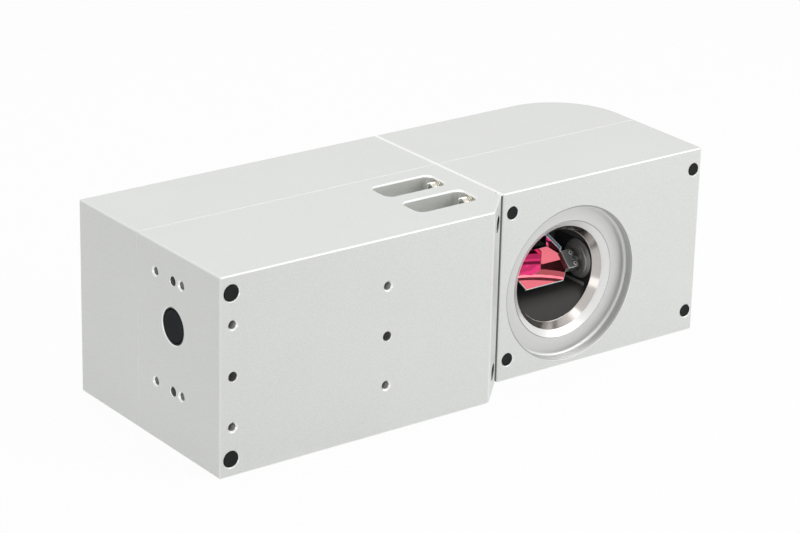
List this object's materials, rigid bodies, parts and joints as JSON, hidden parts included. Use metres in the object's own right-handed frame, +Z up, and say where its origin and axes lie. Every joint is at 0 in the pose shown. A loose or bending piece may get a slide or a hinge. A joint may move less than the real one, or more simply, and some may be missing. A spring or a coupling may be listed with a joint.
{
  "type": "galvo scanner head",
  "caption": "Laser scan head: a focus block slides a lens along the beam, and a scan block turns crossed mirrors in front of a round threaded aperture.",
  "frame": {"origin": "centre of the underside of the box round the whole head", "axes": "+X along the beam that enters, from the focus block to the scan block; -Y out of the aperture; +Z up, as the head lies in use"},
  "size_m": [0.3842, 0.155, 0.126],
  "materials": {
    "case": "bead blasted and clear anodised",
    "bright_metal": "machined",
    "black_metal": "black anodised",
    "grey_metal": "grey anodised",
    "dark_metal": "satin",
    "steel": "bright",
    "copper": "enamelled copper wire",
    "mirror": "coated, reflecting pink",
    "glass": "polished",
    "dark_glass": "polished, dark coating",
    "rubber": "matt",
    "black_plug": "matt",
    "black_plastic": "satin",
    "circuit_board": "solder mask"
  },
  "bodies": {
    "housing": {"focus_housing": "case", "focus_cover": "case", "focus_seal": "rubber", "focus_plug_1": "black_plug", "focus_plug_2": "black_plug", "focus_plug_3": "black_plug", "focus_plug_4": "black_plug", "focus_corner_screw_1": "steel", "focus_corner_screw_2": "steel", "focus_corner_screw_3": "steel", "focus_corner_screw_4": "steel", "entry_window": "dark_glass", "entry_ring": "black_metal", "focus_bench": "black_metal", "guide_rod_front": "steel", "guide_rod_rear": "steel", "magnet_yoke": "steel", "encoder_head": "black_metal", "objective_barrel": "black_metal", "objective_lens_front": "glass", "objective_lens_rear": "glass", "focus_board": "circuit_board", "coupling_seal": "rubber", "coupling_screw_1": "steel", "coupling_screw_2": "steel", "coupling_screw_3": "steel", "coupling_screw_4": "steel", "scan_housing": "case", "scan_cover": "case", "scan_seal": "rubber", "scan_plug_1": "black_plug", "scan_plug_2": "black_plug", "scan_plug_3": "black_plug", "scan_plug_4": "black_plug", "scan_corner_screw_1": "steel", "scan_corner_screw_2": "steel", "scan_corner_screw_3": "steel", "scan_corner_screw_4": "steel", "galvo_mount": "black_metal", "first_motor": "dark_metal", "first_bearing": "steel", "first_position_sensor": "black_plastic", "second_motor": "dark_metal", "second_bearing": "steel", "second_position_sensor": "black_plastic", "driver_board": "circuit_board", "signal_connector": "steel", "power_connector": "steel"},
    "first_scanner": {"first_rotor": "steel", "first_mirror_clamp": "grey_metal", "first_mirror": "mirror"},
    "second_scanner": {"second_rotor": "steel", "second_mirror_clamp": "grey_metal", "second_mirror": "mirror"},
    "focus_carriage": {"lens_carriage": "bright_metal", "moving_lens": "glass", "lens_retainer": "black_metal", "voice_coil": "copper", "encoder_scale": "glass"}
  },
  "joints": [
    {"name": "first_mirror_turn", "type": "hinge", "parent": "housing", "child": "first_scanner", "pos_m": [0.08578, -0.0275, 0.07815], "axis": [0, 1, 0], "range_deg": [-11.25, 11.25]},
    {"name": "second_mirror_turn", "type": "hinge", "parent": "housing", "child": "second_scanner", "pos_m": [0.08662, -0.02531, 0.05578], "axis": [1, 0, 0], "range_deg": [-11.25, 11.25]},
    {"name": "focus_slide", "type": "slide", "parent": "housing", "child": "focus_carriage", "axis": [1, 0, 0], "range_m": [-0.005, 0.005]}
  ]
}
